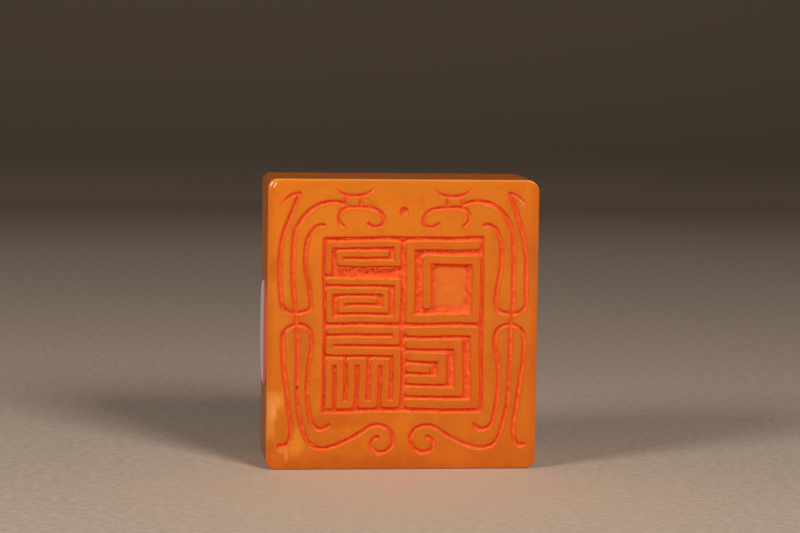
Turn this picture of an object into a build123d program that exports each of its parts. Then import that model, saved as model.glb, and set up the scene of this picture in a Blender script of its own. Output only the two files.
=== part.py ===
from build123d import *

import os

# The stone block, in millimetres. It stands on one side, with its printing face towards -Y.
face_width = 34.0
face_height = 36.5
block_depth = 13.0
upper_left_radius = 1.0
upper_right_radius = 1.5
lower_right_radius = 1.5
lower_left_radius = 1.2
front_bevel = 0.22
back_bevel = 0.4

# The dragon pair, cut as grooves of even width that run to a short point.
body_groove_width = 0.62
head_groove_width = 0.52
groove_depth = 0.5
pearl_radius = 0.58

# The sunken panel, with its raised strokes left level with the face.
panel_side_gap = 1.03
panel_end_gap = 1.0
panel_rounding = 0.25
panel_depth = 0.6
border_gap_x = 0.5
border_gap_y = 0.65
middle_gap_x = 0.75
middle_gap_y = 0.6
fine_stroke_width = 0.68
plain_stroke_width = 0.82
bold_stroke_width = 1.0

# Seal paste left in the carving.
groove_paste_thickness = 0.2
panel_paste_thickness = 0.22
paste_clearance = 0.02
window_paste_rim = 0.75
window_rounding = 0.8

# The paper label on the left side.
label_height = 13.0
label_edge_margin = 0.09
label_rounding = 4.6
label_thickness = 0.15
label_middle_height = 16.6

# The left dragon's lines, as shares of the face's width and height from its middle. Each line is
# its start, its first heading in degrees, and the points that its tangent arcs run through.
mane_shares = (
    (-0.391, 0.451), -113,
    (-0.437, 0.331), (-0.457, 0.207), (-0.455, 0.081), (-0.438, 0.052), (-0.407, 0.042), (-0.360, 0.049),
    (-0.343, 0.072), (-0.354, 0.158), (-0.362, 0.276), (-0.339, 0.327), (-0.298, 0.343),
)
mane_tip_shares = ((-0.391, 0.451), 180, (-0.423, 0.441), (-0.456, 0.418))
back_shares = (
    (-0.215, 0.414), 159,
    (-0.351, 0.396), (-0.407, 0.298), (-0.403, 0.033), (-0.396, -0.193), (-0.358, -0.389), (-0.285, -0.425),
    (-0.133, -0.360), (-0.056, -0.356), (-0.035, -0.410), (-0.074, -0.442), (-0.113, -0.419), (-0.093, -0.388),
)
leg_shares = (
    (-0.454, -0.418), -11,
    (-0.417, -0.396), (-0.415, -0.338), (-0.440, -0.188), (-0.448, -0.040), (-0.427, -0.006), (-0.377, 0.001),
    (-0.347, -0.027), (-0.345, -0.090), (-0.355, -0.231), (-0.338, -0.331), (-0.301, -0.359), (-0.270, -0.344),
)
body_line_shares = (mane_shares, mane_tip_shares, back_shares, leg_shares)
jaw_shares = ((-0.210, 0.403), 4, (-0.115, 0.399), (-0.074, 0.363), (-0.087, 0.339), (-0.129, 0.348))
whisker_shares = ((-0.204, 0.404), 178, (-0.239, 0.378), (-0.219, 0.340))
horn_shares = ((-0.249, 0.468), -59, (-0.219, 0.446), (-0.159, 0.442), (-0.117, 0.469))
head_line_shares = (jaw_shares, whisker_shares, horn_shares)
cheek_shares = (((-0.215, 0.404), (-0.215, 0.445)), ((-0.160, 0.403), (-0.160, 0.442)))
pearl_share = (0.0, 0.392)
# How near the dragons' lines come to the middle of the face, beside the panel and above it.
inner_reach_shares = (0.338, 0.339)

# The panel's raised strokes, a plain fret pattern. A stroke is the column and row of each of its
# bends, as shares of its cell's pitch, counted from the cell's lower left corner.
scroll_shares = ((0, 5), (0, 8), (6, 8), (6, 6), (1, 6), (1, 7), (5, 7))
spiral_shares = ((0, 4), (6, 4), (6, 0), (0, 0), (0, 3), (5, 3), (5, 1), (1, 1), (1, 2), (4, 2))
window_stroke_shares = ((4, 5), (0, 5), (0, 0), (4, 0), (4, 4), (1, 4), (1, 1))
window_corner_shares = ((1, 0), (4, 4))
fold_shares = (
    (0, 7), (6, 7), (6, 6), (0, 6), (0, 5), (6, 5), (6, 0), (5, 0), (5, 4), (4, 4),
    (4, 0), (3, 0), (3, 4), (2, 4), (2, 0), (1, 0), (1, 4), (0, 4), (0, 0),
)
outer_bend_shares = ((0, 6), (4, 6), (4, 0), (0, 0))
middle_bend_shares = ((0, 5), (3, 5), (3, 1), (0, 1))
inner_bend_shares = ((0, 4), (2, 4), (2, 2), (0, 2))
tongue_shares = ((0, 3), (1, 3))

# Each cell: its side and rise from the panel's middle, its columns and rows, its stroke's width and
# its strokes.
upper_left_cell = ((-1, 1), (6, 8), fine_stroke_width, (scroll_shares, spiral_shares))
upper_right_cell = ((1, 1), (4, 5), bold_stroke_width, (window_stroke_shares,))
lower_left_cell = ((-1, -1), (6, 7), plain_stroke_width, (fold_shares,))
bend_shares = (outer_bend_shares, middle_bend_shares, inner_bend_shares, tongue_shares)
lower_right_cell = ((1, -1), (4, 6), bold_stroke_width, bend_shares)
cells = (upper_left_cell, upper_right_cell, lower_left_cell, lower_right_cell)

# How far a groove's point runs past its end, as a share of its width.
point_share = 0.7

# The most that a corner's rounding may take of the edge that it rounds.
rounding_share = 0.44

block_middle_x = label_thickness / 2
block_middle_z = face_height / 2
face_plane = Plane(
    origin=(block_middle_x, -block_depth / 2, block_middle_z),
    x_dir=(1, 0, 0),
    z_dir=(0, -1, 0),
)
inner_reach = (inner_reach_shares[0] * face_width, inner_reach_shares[1] * face_height)
panel_width = 2 * (inner_reach[0] - body_groove_width / 2 - panel_side_gap)
panel_height = 2 * (inner_reach[1] - head_groove_width / 2 - panel_end_gap)
cell_width = (panel_width - 2 * border_gap_x - middle_gap_x) / 2
cell_height = (panel_height - 2 * border_gap_y - middle_gap_y) / 2
label_depth = block_depth - front_bevel - back_bevel - 2 * label_edge_margin


def on_face(share):
    """A point on the face from its shares of the face's width and height."""
    return Vector(share[0] * face_width, share[1] * face_height)


def cell_pitch(cell):
    """The distances from one stroke of a cell to the next, across and up."""
    _, (columns, rows), stroke_width, _ = cell
    return (cell_width - stroke_width) / columns, (cell_height - stroke_width) / rows


def in_cell(cell, bend):
    """The place on the face of one bend of a cell's strokes."""
    (side, rise), (columns, rows), _, _ = cell
    pitch_x, pitch_y = cell_pitch(cell)
    x = side * (middle_gap_x + cell_width) / 2 + (bend[0] - columns / 2) * pitch_x
    y = rise * (middle_gap_y + cell_height) / 2 + (bend[1] - rows / 2) * pitch_y
    return Vector(x, y)


def carved_line(line_shares, width):
    """One carved line: tangent arcs through its points, of even width, with a point at each end."""
    start_share, heading, *end_shares = line_shares
    here = on_face(start_share)
    direction = Vector(1, 0).rotate(Axis.Z, heading)
    ends = [(here, -direction)]
    with BuildLine() as line:
        for end_share in end_shares:
            there = on_face(end_share)
            arc = TangentArc(here, there, tangent=direction)
            here = there
            direction = arc % 1
    ends.append((here, direction))
    trace(line.line, line_width=width)
    for place, outward in ends:
        across = outward.rotate(Axis.Z, 90) * width / 2
        Polygon(
            place + across,
            place + outward * point_share * width,
            place - across,
            place - outward * width / 2,
            align=None,
        )


def dragon_sketch(narrowing):
    """The left dragon, each line narrowed alike all round."""
    with BuildSketch() as dragon:
        for line_shares in body_line_shares:
            carved_line(line_shares, body_groove_width - 2 * narrowing)
        for line_shares in head_line_shares:
            carved_line(line_shares, head_groove_width - 2 * narrowing)
        for low_share, high_share in cheek_shares:
            with BuildLine() as cheek:
                Line(on_face(low_share), on_face(high_share))
            trace(cheek.line, line_width=head_groove_width - 2 * narrowing)
    return dragon.sketch


def stroke_sketch(widening):
    """Every raised stroke of the panel, widened alike all round."""
    with BuildSketch() as strokes:
        for cell in cells:
            _, _, stroke_width, paths = cell
            width = stroke_width + 2 * widening
            for path in paths:
                bends = [in_cell(cell, bend) for bend in path]
                bends[0] += (bends[0] - bends[1]).normalized() * width / 2
                bends[-1] += (bends[-1] - bends[-2]).normalized() * width / 2
                with BuildLine() as stroke:
                    Polyline(*bends)
                trace(stroke.line, line_width=width)
    return strokes.sketch


def panel_sketch(narrowing):
    """The sunken panel around its strokes, narrowed alike all round."""
    with BuildSketch() as panel:
        RectangleRounded(panel_width - 2 * narrowing, panel_height - 2 * narrowing, panel_rounding)
        add(stroke_sketch(narrowing), mode=Mode.SUBTRACT)
    return panel.sketch


# The stone, with rounded long edges, bevelled ends and its carving cut in.
corner_radii = (
    ((-1, 1), upper_left_radius),
    ((1, 1), upper_right_radius),
    ((1, -1), lower_right_radius),
    ((-1, -1), lower_left_radius),
)
dragon_grooves = dragon_sketch(0)
with BuildPart() as stone_block:
    with BuildSketch(face_plane) as outline:
        Rectangle(face_width, face_height)
        for (side, rise), radius in corner_radii:
            corner = (side * face_width / 2, rise * face_height / 2)
            fillet(outline.vertices().sort_by_distance(corner)[0], radius=radius)
    extrude(amount=-block_depth)
    chamfer(stone_block.faces().sort_by(Axis.Y)[0].edges(), length=front_bevel)
    chamfer(stone_block.faces().sort_by(Axis.Y)[-1].edges(), length=back_bevel)
    with BuildSketch(face_plane):
        add(panel_sketch(0))
    extrude(amount=-panel_depth, mode=Mode.SUBTRACT)
    with BuildSketch(face_plane):
        add(dragon_grooves)
        mirror(dragon_grooves, about=Plane.YZ)
        with Locations(on_face(pearl_share)):
            Circle(pearl_radius)
    extrude(amount=-groove_depth, mode=Mode.SUBTRACT)
stone_block.part.label = "stone_block"

# The seal paste that is left in the carving, a patch for each stretch of it.
groove_floor = face_plane.offset(-groove_depth)
panel_floor = face_plane.offset(-panel_depth)
dragon_paste = dragon_sketch(paste_clearance)

with BuildPart() as left_dragon_paste:
    with BuildSketch(groove_floor):
        add(dragon_paste)
    extrude(amount=groove_paste_thickness)
left_dragon_paste.part.label = "left_dragon_paste"

with BuildPart() as right_dragon_paste:
    with BuildSketch(groove_floor):
        mirror(dragon_paste, about=Plane.YZ)
    extrude(amount=groove_paste_thickness)
right_dragon_paste.part.label = "right_dragon_paste"

with BuildPart() as pearl_paste:
    with BuildSketch(groove_floor):
        with Locations(on_face(pearl_share)):
            Circle(pearl_radius - paste_clearance)
    extrude(amount=groove_paste_thickness)
pearl_paste.part.label = "pearl_paste"

window_low, window_high = (in_cell(upper_right_cell, bend) for bend in window_corner_shares)
window_size = window_high - window_low
bare_width = window_size.X - bold_stroke_width - 2 * window_paste_rim
bare_height = window_size.Y - bold_stroke_width - 2 * window_paste_rim
with BuildPart() as panel_paste:
    with BuildSketch(panel_floor):
        add(panel_sketch(paste_clearance))
        with Locations((window_low + window_high) / 2):
            bare_rounding = min(window_rounding, rounding_share * min(bare_width, bare_height))
            RectangleRounded(bare_width, bare_height, bare_rounding, mode=Mode.SUBTRACT)
    extrude(amount=panel_paste_thickness)
panel_paste.part.label = "panel_paste"

# The blank paper label, stuck on the flat of the left side between the bevels.
label_plane = Plane(
    origin=(block_middle_x - face_width / 2, (front_bevel - back_bevel) / 2, label_middle_height),
    x_dir=(0, -1, 0),
    z_dir=(-1, 0, 0),
)
label_corner = min(label_rounding, rounding_share * min(label_depth, label_height))
with BuildPart() as side_label:
    with BuildSketch(label_plane):
        RectangleRounded(label_depth, label_height, label_corner)
    extrude(amount=label_thickness)
side_label.part.label = "side_label"

os.makedirs("parts", exist_ok=True)
for piece in (
    stone_block,
    left_dragon_paste,
    right_dragon_paste,
    pearl_paste,
    panel_paste,
    side_label,
):
    export_step(piece.part, f"parts/{piece.part.label}.step")
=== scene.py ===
"""A carved stone seal that stands on its side, with seal paste in its carving and a paper label.

Shapes are worked out in millimetres on the printing face: across goes right and rise goes up, both
from the face's middle, and depth goes into the stone. Meshes are in metres, in the model's frame.
"""

import math

import bmesh
import bpy
import numpy as np
from mathutils import Matrix, Vector
from mathutils.geometry import delaunay_2d_cdt


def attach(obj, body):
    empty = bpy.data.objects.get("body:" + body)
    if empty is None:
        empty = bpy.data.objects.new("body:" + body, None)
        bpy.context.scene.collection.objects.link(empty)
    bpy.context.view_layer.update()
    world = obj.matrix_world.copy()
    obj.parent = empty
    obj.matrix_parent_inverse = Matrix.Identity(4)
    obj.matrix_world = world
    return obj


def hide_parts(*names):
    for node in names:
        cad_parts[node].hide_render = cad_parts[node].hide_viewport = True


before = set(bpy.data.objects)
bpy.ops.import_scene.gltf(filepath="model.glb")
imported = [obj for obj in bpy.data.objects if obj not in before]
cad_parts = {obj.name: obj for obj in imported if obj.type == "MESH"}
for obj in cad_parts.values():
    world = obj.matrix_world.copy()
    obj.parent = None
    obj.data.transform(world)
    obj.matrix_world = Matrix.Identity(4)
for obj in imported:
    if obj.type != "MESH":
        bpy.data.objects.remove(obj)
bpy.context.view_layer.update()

MILLIMETRE = 0.001

# The paper label on the block's left side: its size and its middle, back and up.
LABEL_SIZE = (12.2, 13.0)
LABEL_MIDDLE = (-0.09, 16.6)
LABEL_ROUNDING = 4.6
LABEL_THICKNESS = 0.15
LABEL_RED_EDGE = 0.9
LABEL_WAVES = 0.008

# The label's rings of points, from its underside to its middle: how far each is inside the label's
# outline and out of the stone.
LABEL_RINGS = ((0.0, -0.02), (0.0, 0.0), (0.02, 0.06), (0.06, 0.105), (0.14, 0.125))
LABEL_RINGS += tuple((inset, 0.13) for inset in (0.4, 0.9, 1.6, 2.4, 3.3, 4.2))

# The block, as the solids have it, and where the middle of its printing face is in the model.
FACE_WIDTH = 34.0
FACE_HEIGHT = 36.5
BLOCK_DEPTH = 13.0
FACE_MIDDLE = (LABEL_THICKNESS / 2, -BLOCK_DEPTH / 2, FACE_HEIGHT / 2)
CORNER_RADII = {(1, 1): 1.5, (-1, 1): 1.0, (-1, -1): 1.2, (1, -1): 1.5}
FRONT_EDGE_INSET = 0.22
BACK_EDGE = 0.4

# How wear has rounded it: its front edge, the upper left corner most of all, and its long sides.
FRONT_EDGE_DEPTH = 0.3
WORN_CORNER = (-16.7, 17.95)
WORN_REACH = 1.2
WORN_SHIFT = (0.33, -0.25)
WORN_DEPTH = 1.3
SIDE_WAVES = 0.006

# The carving.
BODY_GROOVE = 0.57
HEAD_GROOVE = 0.47
GROOVE_DEPTH = 0.5
PANEL_DEPTH = 0.6
PEARL_RADIUS = 0.58
PEARL_SHARE = (0.0, 0.392)
PANEL_SIZE = (20.304, 22.227)
PANEL_ROUNDING = 0.3
BORDER_GAPS = (0.5, 0.65)
MIDDLE_GAPS = (0.75, 0.6)
STROKE_ROUNDING = 0.34
EDGE_SOFTENING = 0.14
EDGE_RIPPLE = 0.006

# How the hand strayed from the drawing: in long wanders, in short trembles, and to the right in the
# left dragon's outer lines.
WANDER = 0.07
TREMBLE = 0.008
LEFT_DRIFT = 0.18
LEFT_DRIFT_MIDDLE = -14.0
LEFT_DRIFT_REACH = 2.8

# The left dragon's lines, in thousandths of the face's width and height from its middle: where a
# line starts, its first heading in degrees, and where each of its tangent arcs ends.
MANE = (
    ((-391, 451), -113),
    ((-437, 331), (-457, 207), (-455, 81), (-438, 52), (-407, 42)),
    ((-360, 49), (-343, 72), (-354, 158), (-362, 276), (-339, 327)),
    ((-298, 343),),
)
MANE_TIP = (((-391, 451), 180), ((-423, 441), (-456, 418)))
BACK = (
    ((-215, 414), 159),
    ((-351, 396), (-407, 298), (-403, 33), (-396, -193), (-358, -389)),
    ((-285, -425), (-133, -360), (-56, -356), (-35, -410), (-74, -442)),
    ((-113, -419), (-93, -388)),
)
LEG = (
    ((-454, -418), -11),
    ((-417, -396), (-415, -338), (-440, -188), (-448, -40), (-427, -6)),
    ((-377, 1), (-347, -27), (-345, -90), (-355, -231), (-338, -331)),
    ((-301, -359), (-270, -344)),
)
JAW = (((-210, 403), 4), ((-115, 399), (-74, 363), (-87, 339), (-129, 348)))
WHISKER = (((-204, 404), 178), ((-239, 378), (-219, 340)))
HORN = (((-249, 468), -59), ((-219, 446), (-159, 442), (-117, 469)))
LEFT_CHEEK = (((-215, 404), 90), ((-215, 445),))
RIGHT_CHEEK = (((-160, 403), 92), ((-160, 442),))

# Each line with its width, and its first and last width as shares of that.
DRAGON_LINES = (
    (MANE, BODY_GROOVE, 0.9, 1.3),
    (MANE_TIP, HEAD_GROOVE, 0.9, 0.2),
    (BACK, BODY_GROOVE, 0.9, 1.15),
    (LEG, BODY_GROOVE, 1.35, 1.25),
    (JAW, HEAD_GROOVE, 1.0, 1.3),
    (WHISKER, HEAD_GROOVE, 1.0, 0.95),
    (HORN, HEAD_GROOVE, 0.2, 0.2),
    (LEFT_CHEEK, HEAD_GROOVE, 1.0, 0.8),
    (RIGHT_CHEEK, HEAD_GROOVE, 1.0, 0.8),
)
TAPER = 1.3
LINE_STEP = 0.12

# The fret's raised strokes: the columns and rows of their bends in a cell of the panel.
SCROLL = ((0, 5), (0, 8), (6, 8), (6, 6), (1, 6), (1, 7), (5, 7))
SPIRAL = ((0, 4), (6, 4), (6, 0), (0, 0), (0, 3), (5, 3), (5, 1), (1, 1), (1, 2), (4, 2))
WINDOW = ((4, 5), (0, 5), (0, 0), (4, 0), (4, 4), (1, 4), (1, 1))
FOLD = (
    ((0, 7), (6, 7), (6, 6), (0, 6), (0, 5), (6, 5), (6, 0), (5, 0), (5, 4), (4, 4))
    + ((4, 0), (3, 0), (3, 4), (2, 4), (2, 0), (1, 0), (1, 4), (0, 4), (0, 0))
)
OUTER_BEND = ((0, 6), (4, 6), (4, 0), (0, 0))
MIDDLE_BEND = ((0, 5), (3, 5), (3, 1), (0, 1))
INNER_BEND = ((0, 4), (2, 4), (2, 2), (0, 2))
TONGUE = ((0, 3), (1, 3))

# Each cell: its side and rise from the panel's middle, its columns and rows, its strokes' width.
CELLS = (
    ((-1, 1), (6, 8), 0.68, (SCROLL, SPIRAL)),
    ((1, 1), (4, 5), 1.0, (WINDOW,)),
    ((-1, -1), (6, 7), 0.82, (FOLD,)),
    ((1, -1), (4, 6), 1.0, (OUTER_BEND, MIDDLE_BEND, INNER_BEND, TONGUE)),
)

# The window, whose middle is bare of paste: two bends of its stroke, the width of paste inside them
# at its lower left and upper right, and the rounding of the bare middle.
WINDOW_CELL = CELLS[1]
WINDOW_BENDS = ((1, 0), (4, 4))
WINDOW_LOW_RIMS = (0.45, 0.95)
WINDOW_HIGH_RIMS = (0.7, 0.5)
WINDOW_ROUNDING = 0.8

# How the knife's cut goes down from the face: how far inside the cut's edge, and the share of its
# full depth there. The walls on the upper left are gentler by a share.
CUT_INSETS = (-0.06, -0.02, 0.02, 0.10, 0.20, 0.30)
CUT_SHARES = (0.0, 0.02, 0.12, 0.55, 0.90, 1.0)
PANEL_WALL_EASING = 0.42
GROOVE_WALL_EASING = 0.15
DOWN_RIGHT = (0.72, -0.69)

# How far inside the cuts the lines run that the meshes of the stone and the paste follow.
STONE_LEVELS = (-0.3, -0.11, -0.06, -0.02, 0.02, 0.10, 0.20, 0.30)
PASTE_LEVELS = (0.10, 0.20)

# The paste: how thick it is, how wide its thin rim is, how much of the gentler walls it leaves bare
# in the panel, and how much thicker it is at their foot.
GROOVE_PASTE = 0.22
PANEL_PASTE = 0.2
PASTE_RIM = 0.22
BARE_WALL = 0.15
HEAP = 0.9

# The crumbs of dried paste: how many a square millimetre has at most, their radius and their seed.
CRUMB_SIZES = (7.0, 0.055, 4)

GRID_STEP = 0.05
FAR_OUTSIDE = -1.0


def blurred(values, step, size):
    """Values on a grid, blurred over about a size and wrapping round at its edges."""
    down = np.fft.fftfreq(values.shape[0], step)[:, None]
    over = np.fft.rfftfreq(values.shape[1], step)[None, :]
    kept = np.exp(-0.5 * (math.tau * size / 4) ** 2 * (down**2 + over**2))
    return np.fft.irfft2(np.fft.rfft2(values) * kept, s=values.shape)


def smooth_noise(shape, step, size, seed):
    """Smooth noise on a grid, of spread one, with features about a size across."""
    noise = blurred(np.random.default_rng(seed).standard_normal(shape), step, size)
    return (noise - noise.mean()) / noise.std()


def ease(values):
    """A smooth step from 0 to 1."""
    held = np.clip(values, 0.0, 1.0)
    return held * held * (3.0 - 2.0 * held)


grid_across = np.linspace(-FACE_WIDTH / 2, FACE_WIDTH / 2, round(FACE_WIDTH / GRID_STEP) + 1)
grid_rise = np.linspace(-FACE_HEIGHT / 2, FACE_HEIGHT / 2, round(FACE_HEIGHT / GRID_STEP) + 1)
across, rise = np.meshgrid(grid_across, grid_rise)


def face_noise(size, seed):
    """Smooth noise over the face."""
    return smooth_noise(across.shape, GRID_STEP, size, seed)


def at(field, places):
    """A field's values at places on the face, from the four grid points round each."""
    column = (places[:, 0] + FACE_WIDTH / 2) / GRID_STEP
    row = (places[:, 1] + FACE_HEIGHT / 2) / GRID_STEP
    left = np.clip(column.astype(int), 0, field.shape[1] - 2)
    low = np.clip(row.astype(int), 0, field.shape[0] - 2)
    right_share = np.clip(column - left, 0.0, 1.0)
    high_share = np.clip(row - low, 0.0, 1.0)
    bottom = field[low, left] * (1 - right_share) + field[low, left + 1] * right_share
    top = field[low + 1, left] * (1 - right_share) + field[low + 1, left + 1] * right_share
    return bottom * (1 - high_share) + top * high_share


# Where each place of the face is in the drawing.
left_drift = LEFT_DRIFT * np.exp(-(((across - LEFT_DRIFT_MIDDLE) / LEFT_DRIFT_REACH) ** 2))
drawn_across = across - left_drift + WANDER * face_noise(7.0, 11) + TREMBLE * face_noise(1.2, 12)
drawn_rise = rise + WANDER * face_noise(7.0, 13) + TREMBLE * face_noise(1.2, 14)


def line_points(line, side):
    """Points a short step apart along a dragon's line, on the left for side -1, the right for 1."""
    (start, heading), *runs = line
    scale = np.array((FACE_WIDTH, FACE_HEIGHT))
    here = np.array(start) / 1000 * scale
    angle = math.radians(heading)
    points = [here]
    for end in (end for run in runs for end in run):
        there = np.array(end) / 1000 * scale
        chord = there - here
        length = math.hypot(*chord)
        half_turn = math.remainder(math.atan2(chord[1], chord[0]) - angle, math.tau)
        count = max(3, round(length / LINE_STEP))
        shares = np.arange(1, count + 1) / count
        if abs(half_turn) < 0.001:
            points.extend(here + chord * share for share in shares)
        else:
            radius = length / (2 * math.sin(half_turn))
            centre = here + radius * np.array((-math.sin(angle), math.cos(angle)))
            turned = angle - math.pi / 2 + 2 * half_turn * shares
            points.extend(centre + radius * np.array((math.cos(a), math.sin(a))) for a in turned)
        here = there
        angle += 2 * half_turn
    return np.array(points) * (-side, 1)


def cut_line(inset, points, width, first_share, last_share):
    """Adds one line, of other widths at its ends, to how far inside the cuts places are."""
    steps = np.hypot(*np.diff(points, axis=0).T)
    travelled = np.concatenate(((0.0,), np.cumsum(steps)))
    from_start = first_share + (1 - first_share) * ease(travelled / TAPER)
    from_end = last_share + (1 - last_share) * ease((travelled[-1] - travelled) / TAPER)
    half_widths = width / 2 * np.minimum(from_start, from_end)
    reach = 1.0
    for k, (first, last) in enumerate(zip(points[:-1], points[1:])):
        low = np.minimum(first, last) - reach
        high = np.maximum(first, last) + reach
        columns = slice(*np.searchsorted(grid_across, (low[0], high[0])))
        rows = slice(*np.searchsorted(grid_rise, (low[1], high[1])))
        window = (rows, columns)
        run = last - first
        from_first = (drawn_across[window] - first[0], drawn_rise[window] - first[1])
        along = (from_first[0] * run[0] + from_first[1] * run[1]) / (run @ run)
        along = np.clip(along, 0.0, 1.0)
        away = np.hypot(from_first[0] - along * run[0], from_first[1] - along * run[1])
        half_width = half_widths[k] + (half_widths[k + 1] - half_widths[k]) * along
        inset[window] = np.maximum(inset[window], half_width - away)


def dragon_inset(side):
    """How far each place of the face is inside one dragon's grooves."""
    inset = np.full(across.shape, FAR_OUTSIDE)
    for line, width, first_share, last_share in DRAGON_LINES:
        cut_line(inset, line_points(line, side), width, first_share, last_share)
    return inset


def box_inset(middle, half_size, rounding):
    """How far each place of the face is inside a box with rounded corners."""
    past_across = abs(drawn_across - middle[0]) - (half_size[0] - rounding)
    past_rise = abs(drawn_rise - middle[1]) - (half_size[1] - rounding)
    outside = np.hypot(np.maximum(past_across, 0), np.maximum(past_rise, 0))
    inside = np.minimum(np.maximum(past_across, past_rise), 0)
    return rounding - outside - inside


def cell_place(cell, bend):
    """Where a bend of a cell's strokes is on the face."""
    sides, counts, stroke_width, _ = cell
    place = []
    for k in (0, 1):
        cell_size = (PANEL_SIZE[k] - 2 * BORDER_GAPS[k] - MIDDLE_GAPS[k]) / 2
        pitch = (cell_size - stroke_width) / counts[k]
        middle = sides[k] * (MIDDLE_GAPS[k] + cell_size) / 2
        place.append(middle + (bend[k] - counts[k] / 2) * pitch)
    return np.array(place)


def panel_inset():
    """How far each place of the face is inside the sunken panel and outside its raised strokes."""
    strokes = np.full(across.shape, FAR_OUTSIDE)
    for cell in CELLS:
        stroke_width = cell[2]
        for bends in cell[3]:
            places = [cell_place(cell, bend) for bend in bends]
            for first, last in zip(places[:-1], places[1:]):
                half_size = abs(last - first) / 2 + stroke_width / 2
                run = box_inset((first + last) / 2, half_size, STROKE_ROUNDING)
                strokes = np.maximum(strokes, run)
    ground = box_inset((0.0, 0.0), np.array(PANEL_SIZE) / 2, PANEL_ROUNDING)
    return np.minimum(ground, -strokes)


def window_inset():
    """How far each place is inside the bare middle of the panel's window."""
    half_stroke = WINDOW_CELL[2] / 2
    low, high = (cell_place(WINDOW_CELL, bend) for bend in WINDOW_BENDS)
    low = low + (half_stroke + np.array(WINDOW_LOW_RIMS))
    high = high - (half_stroke + np.array(WINDOW_HIGH_RIMS))
    return box_inset((low + high) / 2, (high - low) / 2, WINDOW_ROUNDING)


# How far each place is inside each of the cuts.
edge_ripple = EDGE_RIPPLE * face_noise(0.6, 21) + EDGE_RIPPLE * face_noise(0.25, 22)
pearl_away = np.hypot(
    drawn_across - PEARL_SHARE[0] * FACE_WIDTH, drawn_rise - PEARL_SHARE[1] * FACE_HEIGHT
)
insets = {
    "left_dragon": dragon_inset(-1),
    "right_dragon": dragon_inset(1),
    "pearl": np.maximum(PEARL_RADIUS - pearl_away, FAR_OUTSIDE),
    "panel": np.maximum(panel_inset(), FAR_OUTSIDE),
}
insets = {
    name: blurred(inset, GRID_STEP, EDGE_SOFTENING) + edge_ripple for name, inset in insets.items()
}
all_inset = np.maximum.reduce(list(insets.values()))

# Which way the walls of the cuts lean: 1 on their upper left sides, -1 on their lower right ones.
# That fades over their floors as the lean, and the ledge is 1 along their lower sides.
# The lean steers painted shade and light on the paste and a painted glow on the stone; the ledge
# steers painted light on the lips.
rise_slope, across_slope = np.gradient(all_inset, GRID_STEP)
wall_slope = DOWN_RIGHT[0] * across_slope + DOWN_RIGHT[1] * rise_slope
leaning = np.clip(blurred(wall_slope, GRID_STEP, 0.15), -1.0, 1.0)
lean = leaning * (1 - ease((all_inset - 0.12) / 0.28))
ledge = np.clip(blurred(rise_slope, GRID_STEP, 0.15), 0.0, 1.0)

# How deep the carving is, with the chisel's lumps on its floors, fewer in the bare window.
bare_window = window_inset() + 0.12 * face_noise(1.1, 31)
floor_share = ease((all_inset - 0.1) / 0.3)
chisel_lumps = 0.035 * face_noise(1.0, 41) + 0.02 * face_noise(0.45, 42)
chisel_lumps = chisel_lumps * floor_share * (1 - 0.75 * ease(bare_window / 0.4))

depth = np.zeros(across.shape)
for name, inset in insets.items():
    if name == "panel":
        full_depth, easing = PANEL_DEPTH, PANEL_WALL_EASING
    else:
        full_depth, easing = GROOVE_DEPTH, GROOVE_WALL_EASING
    reached = np.where(inset > 0.0, inset * (1 - easing * leaning), inset)
    depth = np.maximum(depth, full_depth * np.interp(reached, CUT_INSETS, CUT_SHARES))
depth = depth + chisel_lumps

# Where seal paste lies: how far each place is inside its ragged edge. It has stained the panel's
# gentler walls, but its film leaves them bare.
paste_edge = 0.014 * face_noise(0.3, 51) + 0.014 * face_noise(0.9, 52)
covers = {name: inset - 0.01 + paste_edge for name, inset in insets.items()}
covers["panel"] = np.minimum(covers["panel"], -0.35 * bare_window)
all_cover = np.maximum.reduce(list(covers.values()))
covers["panel"] = covers["panel"] - BARE_WALL * np.maximum(leaning, 0.0)

# The paste's lumps and grain, its heaps at the foot of the gentler walls, and where its crumbs lie:
# on the floors under the cuts' upper edges.
paste_lumps = face_noise(0.8, 91)
paste_grain = 0.7 * face_noise(0.3, 92) + 0.5 * face_noise(0.15, 93)
heaped = np.maximum(leaning, 0.0) * (1 - ease((all_inset - 0.3) / 0.4))
overhead = np.roll(all_inset, -round(0.9 / GRID_STEP), axis=0)
crumb_share = ease((0.35 - overhead) / 0.5) * ease((all_inset - 0.12) / 0.15)


def crossings(field, level):
    """Pairs of grid edges that a level's lines join, and where each of these edges is crossed."""
    above = field > level
    flat = above[:, :-1] != above[:, 1:]
    upright = above[:-1] != above[1:]
    cut = np.stack((flat[:-1], upright[:, 1:], flat[1:], upright[:, :-1]), -1)
    numbers = np.arange(field.size).reshape(field.shape)
    bottom, top = numbers[:-1, :-1], numbers[1:, :-1]
    left, right = numbers[:-1, :-1] + field.size, numbers[:-1, 1:] + field.size
    edges = np.stack((bottom, right, top, left), -1)
    count = cut.sum(-1)
    plain = count == 2
    pairs = [edges[plain][cut[plain]].reshape(-1, 2)]
    saddle = count == 4
    corners = field[:-1, :-1] + field[:-1, 1:] + field[1:, 1:] + field[1:, :-1]
    joined = (above[:-1, :-1] == (corners / 4 > level))[saddle]
    around = edges[saddle]
    pairs.append(around[joined][:, (0, 1, 2, 3)].reshape(-1, 2))
    pairs.append(around[~joined][:, (0, 3, 1, 2)].reshape(-1, 2))
    pairs = np.concatenate(pairs)
    used = np.unique(pairs)
    is_upright = used >= field.size
    row, column = np.divmod(used - is_upright * field.size, field.shape[1])
    here = field[row, column]
    there = field[row + is_upright, column + ~is_upright]
    share = (level - here) / (there - here)
    place_across = grid_across[column] + share * ~is_upright * GRID_STEP
    place_rise = grid_rise[row] + share * is_upright * GRID_STEP
    return pairs, dict(zip(used.tolist(), np.column_stack((place_across, place_rise))))


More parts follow.
